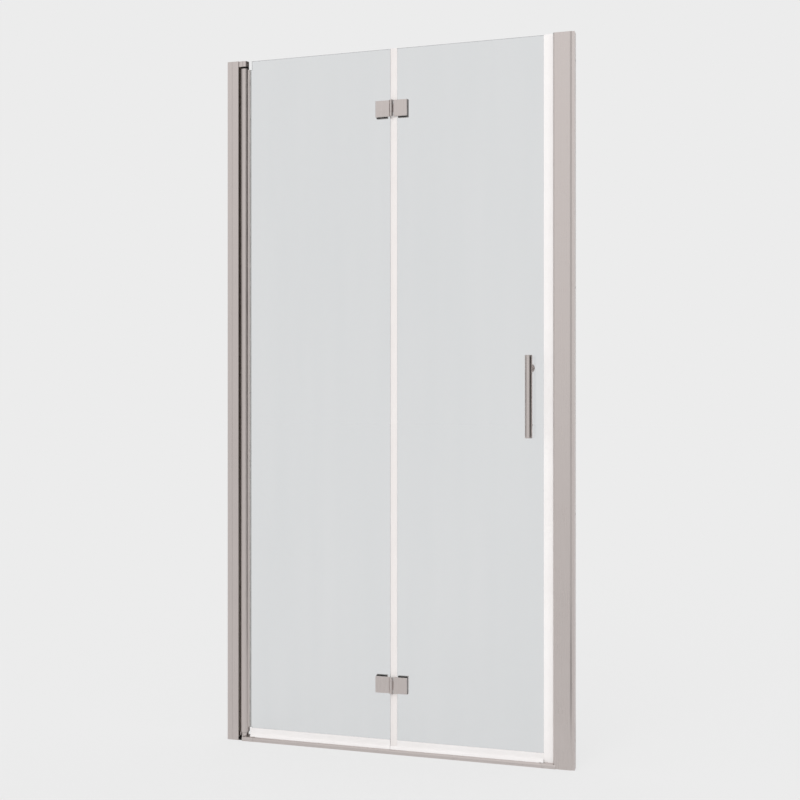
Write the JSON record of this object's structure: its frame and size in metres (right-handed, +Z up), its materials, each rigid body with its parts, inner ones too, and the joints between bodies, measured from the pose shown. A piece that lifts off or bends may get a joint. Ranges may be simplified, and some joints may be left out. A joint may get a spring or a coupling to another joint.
{
  "type": "bifold pivot shower door",
  "caption": "Bifold pivot shower door: a pane on a pivot stile, a second pane folding on outside-barrel hinges, bar handle, magnetic closing strips, wall jambs and a threshold rail.",
  "frame": {"origin": "middle of the threshold rail's underside, under the middle of the glass thickness", "axes": "+X to the right as seen from outside, towards the closing jamb; -Y outside; +Z up"},
  "size_m": [0.995, 0.063, 1.95],
  "materials": {
    "nickel_profile": "satin brushed nickel",
    "nickel_fitting": "satin brushed nickel",
    "nickel_plastic": "satin nickel-plated plastic",
    "steel": "stainless",
    "white_pvc": "white soft PVC",
    "clear_gasket": "translucent soft PVC",
    "dark_rubber": "dark soft rubber",
    "dark_nylon": "dark nylon",
    "magnet": "bonded magnet",
    "clear_glass": "clear toughened glass"
  },
  "bodies": {
    "frame": {"hinge_wall_channel": "nickel_profile", "pivot_jamb": "nickel_profile", "pivot_jamb_screws": "steel", "pivot_jamb_plug": "nickel_plastic", "top_pivot_block": "nickel_fitting", "bottom_pivot_block": "nickel_fitting", "top_pivot_pin": "steel", "bottom_pivot_pin": "steel", "pivot_block_screws": "steel", "strike_wall_channel": "nickel_profile", "strike_jamb": "nickel_profile", "strike_jamb_screws": "steel", "strike_jamb_plug": "nickel_plastic", "strike_seal": "white_pvc", "strike_magnet": "magnet", "threshold_rail": "nickel_profile", "rail_cap_hinge": "nickel_plastic", "rail_cap_strike": "nickel_plastic"},
    "pivot_leaf": {"pivot_stile": "nickel_profile", "top_pivot_bush": "dark_nylon", "bottom_pivot_bush": "dark_nylon", "glazing_gasket": "clear_gasket", "pivot_pane": "clear_glass", "pivot_bottom_seal": "white_pvc", "top_hinge_pivot_plate": "nickel_fitting", "bottom_hinge_pivot_plate": "nickel_fitting", "top_hinge_pivot_clamp": "nickel_fitting", "bottom_hinge_pivot_clamp": "nickel_fitting", "top_hinge_pin": "steel", "bottom_hinge_pin": "steel", "pivot_hinge_pads": "dark_rubber", "pivot_hinge_sleeves": "clear_gasket", "pivot_hinge_screws": "steel"},
    "fold_leaf": {"fold_pane": "clear_glass", "fold_seal": "white_pvc", "closing_seal": "white_pvc", "door_magnet": "magnet", "fold_bottom_seal": "white_pvc", "top_hinge_fold_plate": "nickel_fitting", "bottom_hinge_fold_plate": "nickel_fitting", "top_hinge_fold_clamp": "nickel_fitting", "bottom_hinge_fold_clamp": "nickel_fitting", "fold_hinge_pads": "dark_rubber", "fold_hinge_sleeves": "clear_gasket", "fold_hinge_screws": "steel", "handle_bar": "nickel_fitting", "handle_bar_plugs": "nickel_fitting", "handle_posts": "nickel_fitting", "handle_rosette": "nickel_fitting", "handle_washers": "clear_gasket", "handle_bolts": "steel", "inner_knob": "nickel_fitting", "inner_cap": "nickel_fitting"}
  },
  "joints": [
    {"name": "door_pivot", "type": "hinge", "parent": "frame", "child": "pivot_leaf", "pos_m": [-0.4489, 0, 0], "axis": [0, 0, 1], "range_deg": [0, 90]},
    {"name": "pane_fold", "type": "hinge", "parent": "pivot_leaf", "child": "fold_leaf", "pos_m": [-0.0077, -0.01, 0], "axis": [0, 0, -1], "range_deg": [0, 170]}
  ]
}
